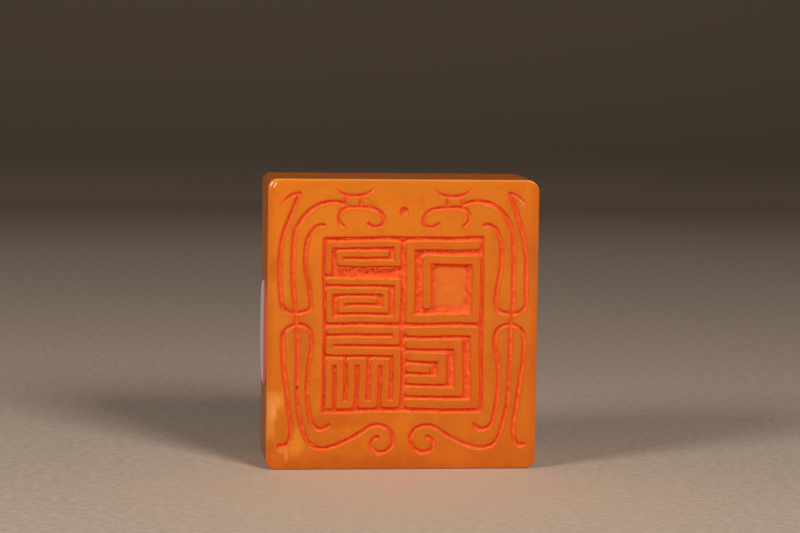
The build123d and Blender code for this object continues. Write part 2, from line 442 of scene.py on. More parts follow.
def thinned(line):
    """A line without the points that lie within a hair of their neighbours' chord."""
    hair = 0.006
    longest_chord = 0.26
    for _ in range(3):
        middles = np.arange(1, len(line) - 1, 2)
        before = line[middles - 1]
        chord = line[middles + 1] - before
        offset = line[middles] - before
        length = np.hypot(*chord.T)
        away = abs(chord[:, 0] * offset[:, 1] - chord[:, 1] * offset[:, 0])
        near = (away < hair * length) & (length < longest_chord)
        line = np.delete(line, middles[near], axis=0)
    return line


def level_lines(field, level):
    """The closed lines round the places where a field is above a level."""
    fewest_points = 10
    pairs, places = crossings(field, level)
    neighbours = {}
    for first, last in pairs.tolist():
        neighbours.setdefault(first, []).append(last)
        neighbours.setdefault(last, []).append(first)
    lines = []
    while neighbours:
        here = next(iter(neighbours))
        walked = []
        while here in neighbours:
            walked.append(here)
            ahead = [number for number in neighbours.pop(here) if number in neighbours]
            here = ahead[0] if ahead else None
        if len(walked) >= fewest_points:
            lines.append(thinned(np.array([places[number] for number in walked])))
    return lines


def scattered(spacing, allowed, seed):
    """Loose points on the face, about a spacing apart, where a field is positive."""
    row_share = 0.87
    over = np.arange(-FACE_WIDTH / 2 + spacing, FACE_WIDTH / 2 - spacing / 2, spacing)
    up = np.arange(-FACE_HEIGHT / 2 + spacing, FACE_HEIGHT / 2 - spacing / 2, spacing * row_share)
    points = np.stack(np.meshgrid(over, up), -1)
    points[1::2, :, 0] += spacing / 2
    shifts = np.random.default_rng(seed).uniform(-0.25, 0.25, points.shape)
    points = (points + shifts * spacing).reshape(-1, 2)
    return points[at(allowed, points) > 0]


def triangulated(lines, points):
    """Places and triangles, anticlockwise, over closed lines kept as edges and loose points."""
    places = []
    edges = []
    for line in lines:
        first = len(places)
        places.extend(map(Vector, line.tolist()))
        numbers = range(first, len(places))
        edges.extend(zip(numbers, (*numbers[1:], first)))
    places.extend(map(Vector, points.tolist()))
    made = delaunay_2d_cdt(places, edges, [], 0, 1e-6, False)
    places = np.array(made[0])
    triangles = np.array(made[2])
    first, second, third = (places[triangles[:, k]] for k in range(3))
    side = second - first
    other = third - first
    area = side[:, 0] * other[:, 1] - side[:, 1] * other[:, 0]
    triangles[area < 0] = triangles[area < 0][:, ::-1]
    return places, triangles[abs(area) > 1e-7]


def inside_outline(triangles, count):
    """The triangles, less those in hollows of the outline, whose points come first and in order."""
    ahead = triangles < np.roll(triangles, -1, axis=1)
    hollow = (triangles < count).all(axis=1) & (ahead.sum(axis=1) == 1)
    return triangles[~hollow]


def in_row(places, depths):
    """Places on the face, each at its depth, as points in millimetres in the model's frame."""
    return np.column_stack(
        (places[:, 0] + FACE_MIDDLE[0], depths + FACE_MIDDLE[1], places[:, 1] + FACE_MIDDLE[2])
    )


def new_object(name, data):
    """An object of the scene, with its mesh, lamp or camera."""
    made = bpy.data.objects.new(name, data)
    bpy.context.scene.collection.objects.link(made)
    return made


def new_piece(name, points, faces, material, shares=None):
    """A smooth mesh object, its doubled points merged, from points in millimetres.

    The shares are lists of one number a point, for its material or its node tree.
    """
    hair = 0.0002 * MILLIMETRE
    mesh = bpy.data.meshes.new(name)
    mesh.from_pydata((np.asarray(points) * MILLIMETRE).tolist(), [], faces)
    for share_name, values in (shares or {}).items():
        attribute = mesh.attributes.new(share_name, "FLOAT", "POINT")
        attribute.data.foreach_set("value", np.asarray(values, dtype=np.float32))
    skin = bmesh.new()
    skin.from_mesh(mesh)
    bmesh.ops.remove_doubles(skin, verts=skin.verts, dist=hair)
    skin.to_mesh(mesh)
    skin.free()
    mesh.shade_smooth()
    mesh.materials.append(material)
    return new_object(name, mesh)


def settle(piece, slot_name, *nodes):
    """Hangs a finished piece on the root and hides the nodes that it stands for; its slot name is
    not used.
    """
    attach(piece, "root")
    if nodes:
        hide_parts(*nodes)


class Wire:
    """An output socket; arithmetic on it adds Math nodes to its tree."""

    def __init__(self, nodes, socket):
        self.nodes = nodes
        self.socket = socket

    def maths(self, operation, *values):
        return self.nodes.node("ShaderNodeMath", {"operation": operation}, dict(enumerate(values)))

    def __add__(self, other):
        return self.maths("ADD", self, other)

    def __radd__(self, other):
        return self.maths("ADD", other, self)

    def __sub__(self, other):
        return self.maths("SUBTRACT", self, other)

    def __rsub__(self, other):
        return self.maths("SUBTRACT", other, self)

    def __mul__(self, other):
        return self.maths("MULTIPLY", self, other)

    def __rmul__(self, other):
        return self.maths("MULTIPLY", other, self)

    def __truediv__(self, other):
        return self.maths("DIVIDE", self, other)

    def __abs__(self):
        return self.maths("ABSOLUTE", self)

    def least(self, other):
        return self.maths("MINIMUM", self, other)

    def rising(self, low, high):
        """A smooth step from 0 at the low value to 1 at the high one."""
        sockets = {"Value": self, "From Min": low, "From Max": high}
        settings = {"interpolation_type": "SMOOTHSTEP"}
        return self.nodes.node("ShaderNodeMapRange", settings, sockets)

    def falling(self, low, high):
        """A smooth step from 1 at the low value to 0 at the high one."""
        return 1.0 - self.rising(low, high)

    def output(self, key):
        """Another output of the same node."""
        return Wire(self.nodes, self.socket.node.outputs[key])


class Nodes:
    """Adds nodes to one tree."""

    def __init__(self, tree):
        self.tree = tree

    def node(self, kind, settings=None, sockets=None, output=0):
        """A node with its settings, then its sockets' values or links, as one of its outputs."""
        made = self.tree.nodes.new(kind)
        for name, value in (settings or {}).items():
            setattr(made, name, value)
        for key, value in (sockets or {}).items():
            if isinstance(value, Wire):
                self.tree.links.new(value.socket, made.inputs[key])
            else:
                made.inputs[key].default_value = value
        return Wire(self, made.outputs[output]) if made.outputs else None

    def right_back_up(self, place):
        """How far right, back and up a place is."""
        right = self.node("ShaderNodeSeparateXYZ", {}, {0: place})
        return right, right.output(1), right.output(2)

    def attribute(self, name):
        """A number that the mesh has at each of its points."""
        return self.node("ShaderNodeAttribute", {"attribute_name": name}, output="Fac")

    def noise(self, place, scale, detail=3.0, roughness=0.6, distortion=0.0):
        """Noise from 0 to 1, with about a scale of features in a millimetre."""
        sockets = {"Vector": place, "Scale": scale, "Detail": detail, "Roughness": roughness}
        return self.node("ShaderNodeTexNoise", {}, {**sockets, "Distortion": distortion})

    def stretched(self, place, factors):
        """A place with each of its axes stretched."""
        return self.node("ShaderNodeVectorMath", {"operation": "MULTIPLY"}, {0: place, 1: factors})

    def away(self, place, point):
        """How far a place is from a point."""
        sockets = {0: place, 1: point}
        return self.node("ShaderNodeVectorMath", {"operation": "DISTANCE"}, sockets, "Value")

    def blend(self, share, first, second):
        """The first colour going over to the second."""
        sockets = {0: share, 6: first, 7: second}
        return self.node("ShaderNodeMix", {"data_type": "RGBA"}, sockets, 2)

    def tinted(self, colour, *tints):
        """A colour with others over it in turn, each a share and a tint."""
        for share, tint in tints:
            colour = self.blend(share, colour, tint)
        return colour

    def bump(self, height, distance):
        """Normals that follow a height from 0 to 1, of a full height in millimetres."""
        sockets = {"Height": height, "Distance": distance * MILLIMETRE}
        return self.node("ShaderNodeBump", {}, sockets)

    def surface(self, colour, roughness, normal, others):
        """The shader itself, with its other sockets, joined to the material's output."""
        sockets = {"Base Color": colour, "Roughness": roughness, "Normal": normal, **others}
        shader = self.node("ShaderNodeBsdfPrincipled", {}, sockets)
        self.node("ShaderNodeOutputMaterial", {}, {"Surface": shader})


def new_material(name):
    """An empty material, what adds nodes to it, and the place on the object in millimetres."""
    material = bpy.data.materials.new(name)
    material.use_nodes = True
    material.node_tree.nodes.clear()
    nodes = Nodes(material.node_tree)
    place = nodes.node("ShaderNodeTexCoord", output="Object")
    return material, nodes, nodes.stretched(place, (1 / MILLIMETRE,) * 3)


# Clouds in the stone: middle across and up, half width and height, strength and colour.
STONE_CLOUDS = (
    ((-16.0, 8.8), (1.3, 1.1), 0.7, (0.88, 0.37, 0.06)),
    ((-16.5, 7.3), (0.8, 1.5), 0.95, (0.90, 0.40, 0.09)),
    ((-16.75, 5.2), (0.75, 1.9), 0.75, (0.88, 0.35, 0.05)),
    ((-15.1, 5.5), (0.9, 1.5), 0.35, (0.50, 0.12, 0.004)),
    ((-12.5, 6.6), (1.0, 2.0), 0.2, (0.46, 0.12, 0.006)),
    ((-13.3, 3.6), (1.1, 1.6), 0.65, (0.86, 0.28, 0.02)),
    ((-14.9, 2.5), (0.75, 0.4), 0.6, (0.84, 0.30, 0.06)),
    ((-14.4, 1.7), (0.25, 0.6), 0.5, (0.84, 0.32, 0.09)),
    ((-16.6, 3.1), (0.5, 1.0), 0.4, (0.50, 0.09, 0.004)),
    # A dark band of painted shade along the foot.
    ((-5.0, 0.3), (9.5, 1.4), 0.5, (0.46, 0.085, 0.002)),
    ((16.4, 26.7), (0.7, 2.6), 0.45, (0.42, 0.10, 0.008)),
    ((15.2, 25.5), (0.35, 2.4), 0.3, (0.84, 0.28, 0.03)),
    ((-12.2, 24.5), (0.9, 2.4), 0.25, (0.50, 0.115, 0.006)),
    ((-15.9, 25.0), (0.8, 1.6), 0.4, (0.52, 0.10, 0.004)),
    ((-15.6, 22.6), (1.2, 1.6), 0.35, (0.84, 0.30, 0.03)),
    ((0.5, 31.0), (4.5, 2.6), 0.4, (0.82, 0.235, 0.012)),
    ((-8.0, 6.2), (4.0, 0.9), 0.6, (0.58, 0.10, 0.001)),
    ((-0.2, 4.6), (2.2, 1.4), 0.45, (0.78, 0.20, 0.004)),
    ((-12.4, 16.5), (1.6, 4.5), 0.5, (0.62, 0.10, 0.001)),
    ((-12.3, 28.2), (0.9, 2.4), 0.65, (0.90, 0.19, 0.004)),
    ((0.0, 35.8), (15.0, 1.2), 0.4, (0.62, 0.21, 0.016)),
)

# Painted glints, small spots of painted highlight: across, up and radius.
PAINTED_GLINTS = (
    ((14.9, 33.38, 0.08), (15.15, 33.3, 0.07), (12.9, 0.9, 0.06), (7.9, 18.52, 0.07))
    + ((6.1, 18.58, 0.055), (-5.6, 1.3, 0.05), (-3.4, 1.7, 0.05), (11.9, 10.6, 0.05))
    + ((-16.3, 21.2, 0.05), (15.2, 11.4, 0.05))
)

# The stone's colours, by itself, cut, stained by paste and worn, and the painted shade, glow and
# highlights on it.
DARK_HONEY = (0.60, 0.122, 0.0005, 1)
LIGHT_HONEY = (0.80, 0.224, 0.008, 1)
VEIN_BROWN = (0.40, 0.055, 0.001, 1)
PAINTED_EDGE_SHADE = (0.50, 0.085, 0.001, 1)
PAINTED_SIDE_SHADE = (0.42, 0.071, 0.001, 1)
PAINTED_LEFT_SIDE_SHADE = (0.22, 0.15, 0.03, 1)
CUT_HONEY = (0.75, 0.195, 0.002, 1)
SCRATCH_PALE = (0.98, 0.38, 0.06, 1)
SMEAR_RED = (0.90, 0.13, 0.004, 1)
PAINTED_UPPER_GLOW = (0.94, 0.085, 0.001, 1)
PAINTED_LOWER_GLOW = (0.78, 0.085, 0.003, 1)
STAIN_RED = (0.95, 0.10, 0.007, 1)
PAINTED_STROKE_SHADE = (0.68, 0.09, 0.001, 1)
BRUISED_AND_LIT_PALE = (0.98, 0.33, 0.08, 1)
PAINTED_RIM_HIGHLIGHT = (0.92, 0.36, 0.14, 1)
PAINTED_CORNER_HIGHLIGHT = (1.0, 0.72, 0.5, 1)
PAINTED_GLINT_GOLD = (1.0, 0.66, 0.4, 1)


def glint_share(nodes, place):
    """Where the painted glints are."""
    share = 0.0
    for right, up, radius in PAINTED_GLINTS:
        spot = nodes.away(place, (right, -6.4, up)).falling(radius, radius * 1.9)
        share = spot + share
    return share.least(1.0)


def clouded_honey(nodes, place, behind):
    """The stone's colour: lighter up and to the left, clouded and veined, with painted shade that
    darkens its foot.
    """
    right, _, up = nodes.right_back_up(place)
    clouds = nodes.noise(place, 0.09, 3.0, 0.5, 0.8)
    wisps = nodes.noise(nodes.stretched(place, (1.0, 1.0, 0.5)), 0.35, 4.0, 0.6, 0.5)
    fine = nodes.noise(place, 1.3)
    light = 0.46 + up * 0.008 - right * 0.009 + (clouds - 0.5) * 0.6 + (wisps - 0.5) * 0.8
    # The fall towards the foot is painted shade.
    light = light + (fine - 0.5) * 0.35 - up.falling(0.0, 7.0) * 0.2
    colour = nodes.blend(light.rising(-0.2, 1.2), DARK_HONEY, LIGHT_HONEY)

    bent = nodes.noise(nodes.stretched(place, (0.6, 0.6, 1.6)), 0.09, 5.0, 0.55, 0.6)
    vein = abs(bent - 0.5).falling(0.002, 0.016)
    vein = vein * nodes.noise(place, 0.3, 2.0, 0.5).rising(0.4, 0.65)
    colour = nodes.blend(vein * (0.16 + behind * 0.3), colour, VEIN_BROWN)

    drift = (nodes.noise(place, 0.7) - 0.5) * 1.6
    for middle, radii, strength, tint in STONE_CLOUDS:
        scales = (1 / radii[0], 0.3, 1 / radii[1])
        centre = (middle[0] / radii[0], FACE_MIDDLE[1] * 0.3, middle[1] / radii[1])
        reach = nodes.away(nodes.stretched(place, scales), centre)
        colour = nodes.blend((reach + drift).falling(0.45, 1.5) * strength, colour, (*tint, 1))
    return colour


def stained_honey(nodes, place, colour, cut, sunken, scratches):
    """The stone's colour with what the knife and the paste have done to it, and a painted red glow
    round the cuts.
    """
    cover = nodes.attribute("cover")
    above = nodes.attribute("lean").rising(-0.1, 0.5)
    mottle = (nodes.noise(place, 3.0) - 0.5) * 0.2
    smear = (cover + mottle * 0.6).rising(-0.17, 0.0)
    # Painted glow: red light from the paste, scattered through the stone round the cuts, most above
    # them.
    painted_glow_above = (cut + mottle).rising(-0.34, -0.05) * above
    painted_glow_below = (cut + mottle).rising(-0.4, 0.0) * (1.0 - above)
    stain = (cover + mottle).rising(-0.1, 0.05)
    return nodes.tinted(
        colour,
        (sunken * 0.8, CUT_HONEY),
        (sunken * scratches.rising(0.55, 0.75) * 0.5, SCRATCH_PALE),
        (sunken * smear * 0.65, SMEAR_RED),
        (painted_glow_above * 0.65, PAINTED_UPPER_GLOW),
        (painted_glow_below * 0.25, PAINTED_LOWER_GLOW),
        (stain * 0.8, STAIN_RED),
    )


def corner_highlight_share(right, up, behind):
    """Where a painted highlight lies on the worn upper left corner, in a short slanting streak."""
    middle = (-16.05, 35.72)
    heading = (0.574, 0.819)
    along = (right - middle[0]) * heading[0] + (up - middle[1]) * heading[1]
    aside = (right - middle[0]) * heading[1] - (up - middle[1]) * heading[0]
    return abs(aside).falling(0.03, 0.12) * abs(along).falling(0.2, 0.42) * (1.0 - behind)


def honey_stone():
    """Waxy honey-orange stone: faintly translucent, clouded, polished and stained by seal paste,
    with painted shade, glow and highlights.
    """
    material, nodes, place = new_material("honey_stone")
    right, back, up = nodes.right_back_up(place)
    behind = back.rising(-6.4, -5.2)
    beside = abs(right - FACE_MIDDLE[0])
    colour = clouded_honey(nodes, place, behind)
    # Painted shade: the face darkens towards its side edges, and the block's sides and back, the
    # left side most, are darker than the face.
    edge_shade = beside.rising(15.6, 17.0) * (1.0 - behind)
    left_side_shade = behind * right.falling(-17.1, -16.0)
    painted_shades = ((edge_shade * 0.42, PAINTED_EDGE_SHADE), (behind * 0.75, PAINTED_SIDE_SHADE))
    colour = nodes.tinted(colour, *painted_shades, (left_side_shade * 0.25, PAINTED_LEFT_SIDE_SHADE))

    cut = nodes.attribute("cut")
    sunken = cut.rising(0.1, 0.3)
    scratches = nodes.noise(nodes.stretched(place, (0.35, 1.0, 9.0)), 1.6, 2.0, 0.5)
    colour = stained_honey(nodes, place, colour, cut, sunken, scratches)

    # The panel's raised strokes get painted shade, for the thin stone between the cuts that gets
    # less light.
    in_panel = beside.falling(9.9, 10.3) * abs(up - FACE_MIDDLE[2]).falling(10.9, 11.3)
    in_panel = in_panel * (1.0 - behind)
    worn = nodes.noise(place, 0.6, 2.0, 0.5).rising(0.38, 0.62)
    # Pale lips where the knife bruised the stone, painted only on lips facing up, as painted light
    # where they catch the lamps.
    bruised_and_lit = cut.rising(-0.06, 0.0) * cut.falling(0.04, 0.16)
    bruised_and_lit = bruised_and_lit * nodes.attribute("ledge").rising(0.3, 0.9)
    bruised_and_lit = bruised_and_lit * (0.12 + worn * 0.25 + in_panel * 0.4)
    # Painted highlight along the front edge, brightest along its top.
    rim_highlight = back.rising(-6.49, -6.43) * back.falling(-6.32, -6.2) * cut.falling(-0.5, -0.3)
    colour = nodes.tinted(
        colour,
        (in_panel * (1.0 - sunken) * 0.3, PAINTED_STROKE_SHADE),
        (bruised_and_lit, BRUISED_AND_LIT_PALE),
        (rim_highlight * (0.12 + up.rising(34.0, 36.0) * 0.45), PAINTED_RIM_HIGHLIGHT),
        (glint_share(nodes, place), PAINTED_GLINT_GOLD),
        (corner_highlight_share(right, up, behind) * 0.9, PAINTED_CORNER_HIGHLIGHT),
    )

    rough = (bruised_and_lit + sunken + behind * 0.6).least(1.0)
    smudges = nodes.noise(place, 0.25, 4.0, 0.6)
    grain = nodes.noise(place, 7.0)
    roughness = 0.14 + smudges * 0.1 + rough * 0.3
    normal = nodes.bump(scratches * 0.5 + grain * 0.5, 0.0014)
    others = {
        "IOR": 1.5,
        "Specular IOR Level": 0.4,
        "Subsurface Weight": 0.8,
        "Subsurface Radius": (1.0, 0.42, 0.12),
        "Subsurface Scale": 0.0018,
    }
    nodes.surface(colour, roughness, normal, others)
    return material


def seal_paste():
    """Dried vermilion paste: matte, grainy, with dark flecks, painted glints, painted shade on its
    upper left walls and painted light on its lower right ones.
    """
    material, nodes, place = new_material("seal_paste")
    tone = nodes.noise(place, 0.9)
    colour = nodes.blend(tone.rising(0.3, 0.7), (0.77, 0.074, 0.008, 1), (0.86, 0.108, 0.016, 1))
    lean = nodes.attribute("lean")
    # Painted shade on the paste's upper left walls, in patches where they lean most, and painted
    # light on its lower right walls.
    colour = nodes.blend(lean.rising(0.3, 1.0) * 0.3, colour, (0.76, 0.06, 0.001, 1))
    shade = lean.rising(0.6, 0.95) * nodes.noise(place, 1.2).rising(0.45, 0.6)
    colour = nodes.blend(shade * 0.5, colour, (0.40, 0.028, 0.001, 1))
    colour = nodes.blend((lean * -1.0).rising(-0.1, 0.9) * 0.8, colour, (0.89, 0.17, 0.022, 1))
    # A dark spot of painted shade, standing for a pit in the paste that the mesh doesn't have.
    past_painted_pit = nodes.away(place, (-13.1, -6.2, 10.4)).rising(0.1, 0.34)
    colour = nodes.blend(past_painted_pit, (0.25, 0.03, 0.005, 1), colour)
    colour = nodes.blend(glint_share(nodes, place), colour, PAINTED_GLINT_GOLD)
    crumbs = nodes.attribute("crumbs")
    flecks = (nodes.noise(place, 2.4, 5.0, 0.7) + crumbs * 0.06).rising(0.55, 0.66)
    patches = nodes.noise(place, 0.5, 2.0, 0.5).rising(0.42, 0.62)
    flecks = flecks * (0.2 + patches * 0.4 + crumbs * 0.45)
    colour = nodes.blend(flecks, colour, (0.52, 0.028, 0.004, 1))
    grains = nodes.noise(place, 14.0, 2.0, 0.5)
    lumps = nodes.noise(place, 4.5, 4.0, 0.65)
    roughness = 0.62 - grains.rising(0.62, 0.75) * 0.35
    normal = nodes.bump(lumps * 0.6 + grains * 0.4, 0.05)
    nodes.surface(colour, roughness, normal, {"IOR": 1.5, "Specular IOR Level": 0.2})
    return material


def label_paper():
    """Thin matte paper, off-white, its front part a plain red field."""
    material, nodes, place = new_material("label_paper")
    _, back, _ = nodes.right_back_up(place)
    fibres = nodes.noise(nodes.stretched(place, (1.0, 1.0, 3.0)), 5.0, 4.0, 0.7)
    colour = nodes.blend(fibres, (0.62, 0.455, 0.42, 1), (0.80, 0.625, 0.58, 1))
    ink = nodes.blend(fibres, (0.75, 0.125, 0.055, 1), (0.86, 0.18, 0.09, 1))
    edge = LABEL_RED_EDGE + (fibres - 0.5) * 0.06
    colour = nodes.blend((-1.0 * back - edge).rising(-0.03, 0.03), colour, ink)
    nodes.surface(colour, 0.75, nodes.bump(fibres, 0.015), {"IOR": 1.45})
    return material


def studio_paper():
    """The matte surface that the seal stands on: pale in front, with painted shade where it runs up
    behind and a painted warm glow of the stone's light round the seal.
    """
    material, nodes, place = new_material("studio_paper")
    _, back, _ = nodes.right_back_up(place)
    mottle = nodes.noise(place, 0.9, 4.0, 0.75)
    pale = nodes.blend(mottle.rising(0.25, 0.75), (0.45, 0.355, 0.278, 1), (0.63, 0.495, 0.392, 1))
    # Painted light: the stone's warm light on the paper round the seal.
    around = nodes.away(nodes.stretched(place, (0.75, 0.7, 1.0)), (0.0, -14.0, 0.0))
    pale = nodes.blend(around.falling(2.0, 38.0) * 0.5, pale, (0.70, 0.50, 0.33, 1))
    # Painted shade: darker with distance where the sweep runs up behind.
    colour = nodes.blend(back.rising(270.0, 490.0), pale, (0.32, 0.244, 0.183, 1))
    colour = nodes.blend(back.rising(445.0, 490.0), colour, (0.18, 0.136, 0.102, 1))
    nodes.surface(colour, 0.85, nodes.bump(mottle, 0.015), {})
    return material


def outline():
    """The block's outline, anticlockwise from its upper right corner."""
    corner_points = 9
    edge_steps = 44
    corners = []
    for quarter, (side, radius) in enumerate(CORNER_RADII.items()):
        centre = np.array(side) * ((FACE_WIDTH / 2 - radius), (FACE_HEIGHT / 2 - radius))
        turns = np.linspace(0, math.pi / 2, corner_points) + quarter * math.pi / 2
        corners.append([centre + radius * np.array((math.cos(t), math.sin(t))) for t in turns])
    line = []
    for corner, after in zip(corners, corners[1:] + corners[:1]):
        line.extend(corner)
        run = after[0] - corner[-1]
        line.extend(corner[-1] + run * share for share in np.arange(1, edge_steps) / edge_steps)
    return np.array(line)


def stone_loops():
    """The rings of points round the block, from front to back, each as its places and depths."""
    turns = np.radians(np.linspace(0, 90, 7))
    rings = [
        (FRONT_EDGE_INSET * (1 - math.sin(t)), FRONT_EDGE_DEPTH * (1 - math.cos(t))) for t in turns
    ]
    side_depths = np.linspace(FRONT_EDGE_DEPTH * 3.2, BLOCK_DEPTH - BACK_EDGE, 20)
    rings += [(0.0, side_depth) for side_depth in side_depths]
    rings += [
        (BACK_EDGE * (1 - math.cos(t)), BLOCK_DEPTH - BACK_EDGE * (1 - math.sin(t)))
        for t in turns[1:]
    ]
    line = outline()
    ahead = np.roll(line, -1, axis=0) - np.roll(line, 1, axis=0)
    outward = np.column_stack((ahead[:, 1], -ahead[:, 0])) / np.hypot(*ahead.T)[:, None]
    off_foot = 1 - ease(-outward[:, 1] * 2)
    rubbed = np.exp(-((np.hypot(*(line - WORN_CORNER).T) / WORN_REACH) ** 2))
    wear = 1 + 0.1 * smooth_noise((1, len(line)), 0.75, 3.0, 62)[0]
    ripple = smooth_noise((len(rings), len(line)), 0.6, 5.0, 61)
    loops = []
    for (inset, ring_depth), waves in zip(rings, ripple):
        waved = SIDE_WAVES * (waves + 2.5).clip(0, 5) * ease((ring_depth - 1.2) / 1.5) * off_foot
        if ring_depth < FRONT_EDGE_DEPTH * 1.01:
            places = line - outward * (inset * wear + waved)[:, None]
            places += np.outer(rubbed * inset / FRONT_EDGE_INSET, WORN_SHIFT)
            depths = ring_depth * (1 + WORN_DEPTH * rubbed)
        else:
            places = line - outward * (inset + waved)[:, None]
            depths = np.full(len(line), ring_depth)
        loops.append((places, depths))
    return loops


def carve_stone(material):
    """The block as one closed skin, with the carving in its face."""
    face_spacing = 0.7
    floor_spacing = 0.24
    back_spacing = 1.6
    edge_gap = 0.6
    cut_gap = 0.16
    wall_width = 0.34
    loops = stone_loops()
    ring_size = len(loops[0][0])
    lines = [line for level in STONE_LEVELS for line in level_lines(all_inset, level)]
    from_edge = box_inset((0.0, 0.0), (FACE_WIDTH / 2, FACE_HEIGHT / 2), 1.0)
    plain = np.minimum(from_edge - edge_gap, -all_inset - cut_gap)
    on_floors = scattered(floor_spacing, all_inset - wall_width, 72)
    loose = np.concatenate((scattered(face_spacing, plain, 71), on_floors))
    places, triangles = triangulated([loops[0][0], *lines], loose)
    points = [in_row(places, at(depth, places))]
    faces = inside_outline(triangles, ring_size).tolist()
    points += [in_row(line, depths) for line, depths in loops]
    last = len(places) + (len(loops) - 1) * ring_size
    for near in range(len(places), last, ring_size):
        far = near + ring_size
        for j in range(ring_size):
            after = (j + 1) % ring_size
            faces.append((near + j, far + j, far + after, near + after))
    back_line, back_depths = loops[-1]
    loose = scattered(back_spacing, from_edge - back_spacing, 73)
    back_places, triangles = triangulated([back_line], loose)
    points.append(in_row(back_places, np.full(len(back_places), back_depths[0])))
    faces += (inside_outline(triangles, ring_size)[:, ::-1] + last + ring_size).tolist()

    points = np.concatenate(points)
    shares = {}
    for name, field, elsewhere in (
        ("cover", all_cover, FAR_OUTSIDE),
        ("cut", all_inset, FAR_OUTSIDE),
        ("lean", lean, 0.0),
        ("ledge", ledge, 0.0),
    ):
        shares[name] = np.full(len(points), elsewhere)
        shares[name][: len(places)] = at(field, places)
    return new_piece("carved_stone", points, faces, material, shares)


def rim_sides(triangles):
    """The triangles' sides that no other triangle shares, as pairs of points."""
    sides = np.concatenate((triangles[:, (0, 1)], triangles[:, (1, 2)], triangles[:, (2, 0)]))
    known = set(map(tuple, sides.tolist()))
    return np.array(sorted((a, b) for a, b in known if (b, a) not in known))


def paste_shell(name, material):
    """A film of paste as a closed shell on the floor and walls of one carving."""
    least_depth = 0.03
    underside = 0.03
    sunk_rim = 0.004
    cover = covers[name]
    lines = level_lines(cover, 0.0)
    lines += [line for level in PASTE_LEVELS for line in level_lines(insets[name], level)]
    places, triangles = triangulated(lines, scattered(0.115, cover - 0.035, 81))
    middles = places[triangles].mean(axis=1)
    triangles = triangles[at(cover, middles) > 0]
    for _ in range(3):
        points, counts = np.unique(rim_sides(triangles)[:, 0], return_counts=True)
        triangles = triangles[~np.isin(triangles, points[counts > 1]).any(axis=1)]
    used, triangles = np.unique(triangles, return_inverse=True)
    triangles = triangles.reshape(-1, 3)
    places = places[used]

    body = ease(at(cover, places) / PASTE_RIM)
    full = PANEL_PASTE if name == "panel" else GROOVE_PASTE
    thickness = full * body * (0.8 + 0.2 * at(paste_lumps, places))
    thickness = thickness + 0.022 * body * at(paste_grain, places)
    if name == "panel":
        thickness = thickness * (1 + HEAP * at(heaped, places))
    bed = at(depth, places)
    top = bed - np.maximum(thickness, 0.0) + sunk_rim * (1 - body)
    top = np.minimum(np.maximum(top, least_depth), bed + sunk_rim)
    bottom = np.maximum(bed, top) + underside
    points = np.concatenate((in_row(places, top), in_row(places, bottom)))
    count = len(places)
    faces = triangles.tolist() + (triangles[:, ::-1] + count).tolist()
    faces += [(b, a, a + count, b + count) for a, b in rim_sides(triangles).tolist()]
    shares = {
        share_name: np.concatenate((at(field, places), np.zeros(count)))
        for share_name, field in (("crumbs", crumb_share), ("lean", lean))
    }
    return new_piece(f"{name}_paste_film", points, faces, material, shares)


def crumb_tree(material):
    """Node tree that strews crumbs over a film of paste, and its sizes' identifiers."""
    tree = bpy.data.node_groups.new("strewn_crumbs", "GeometryNodeTree")
    nodes = Nodes(tree)

    def new_socket(name, kind, way="INPUT"):
        return tree.interface.new_socket(name, in_out=way, socket_type=f"NodeSocket{kind}")

    def random_vector(low, high, seed):
        sockets = {0: low, 1: high, "Seed": seed}
        return nodes.node("FunctionNodeRandomValue", {"data_type": "FLOAT_VECTOR"}, sockets)

    new_socket("Film", "Geometry")
    kinds = {"Crumbs a square millimetre": "Float", "Crumb radius": "Float", "Seed": "Int"}
    sizes = [new_socket(name, kind) for name, kind in kinds.items()]
    new_socket("Crumbs", "Geometry", "OUTPUT")
    film = nodes.node("NodeGroupInput")
    named = {"Name": "crumbs"}
    wanted = nodes.node("GeometryNodeInputNamedAttribute", {"data_type": "FLOAT"}, named)
    density = film.output(1) * wanted / MILLIMETRE**2
    spread = {"Mesh": film, "Density": density, "Seed": film.output(3)}
    spots = nodes.node("GeometryNodeDistributePointsOnFaces", {}, spread)
    crumb = nodes.node("GeometryNodeMeshIcoSphere", {}, {"Radius": 1.0, "Subdivisions": 2})
    turn = random_vector((0, 0, 0), (math.tau, math.tau, math.tau), 5)
    shape = random_vector((0.5, 0.4, 0.5), (1.5, 1.0, 1.3), 6)
    scaled = {0: shape, "Scale": film.output(2) * MILLIMETRE}
    size = nodes.node("ShaderNodeVectorMath", {"operation": "SCALE"}, scaled)
    placed = {"Points": spots, "Instance": crumb, "Rotation": turn, "Scale": size}
    strewn = nodes.node("GeometryNodeInstanceOnPoints", {}, placed)
    solid = nodes.node("GeometryNodeRealizeInstances", {}, {0: strewn})
    painted = nodes.node("GeometryNodeSetMaterial", {}, {0: solid, "Material": material})
    nodes.node("NodeGroupOutput", {}, {0: painted})
    return tree, [size.identifier for size in sizes]


